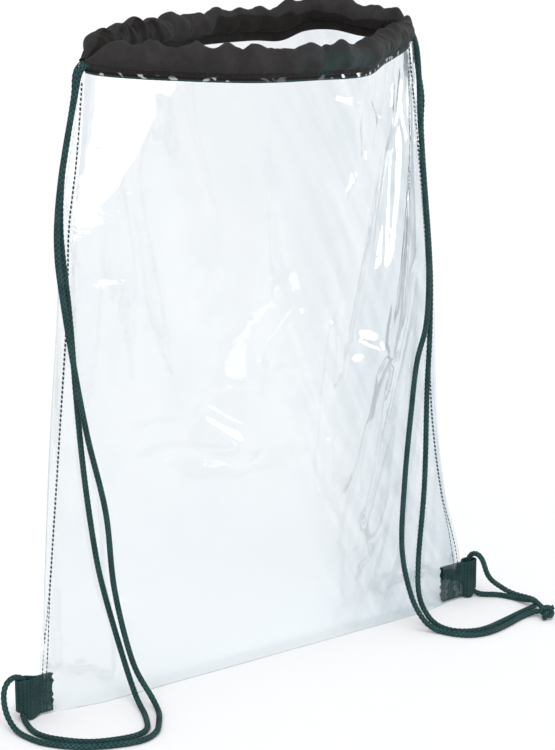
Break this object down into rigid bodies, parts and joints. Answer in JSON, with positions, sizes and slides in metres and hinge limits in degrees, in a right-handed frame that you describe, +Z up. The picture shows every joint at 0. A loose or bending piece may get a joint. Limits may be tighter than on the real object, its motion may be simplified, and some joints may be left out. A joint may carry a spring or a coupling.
{
  "type": "clear drawstring backpack",
  "caption": "Clear plastic drawstring backpack standing upright, with gathered cloth casings at its open mouth, webbing tabs at the lower corners and loose cords with a knot.",
  "frame": {"origin": "Middle of the bag's own box at the level of the surface it stands on, leaving out its loose cords.", "axes": "X runs along the bag's width to the wearer's side with the knot, -Y is the front shown in the picture, Z is up."},
  "size_m": [0.4112, 0.1743, 0.4233],
  "materials": {
    "clear_sheet": "clear, glossy, faintly blue",
    "casing_cloth": "matt charcoal woven cloth",
    "webbing": "matt dark green ribbed webbing",
    "cord": "matt dark green braid"
  },
  "bodies": {
    "root": {"clear_body": "clear_sheet", "casing_front": "casing_cloth", "casing_back": "casing_cloth", "tab_left": "webbing", "tab_right": "webbing", "cord_left_in_casing": "cord", "cord_right_in_casing": "cord", "cord_left_outer": "cord", "cord_left_inner": "cord", "cord_left_eye": "cord", "cord_right_outer": "cord", "cord_right_inner": "cord", "cord_right_eye": "cord", "knot_right": "cord"}
  },
  "joints": []
}
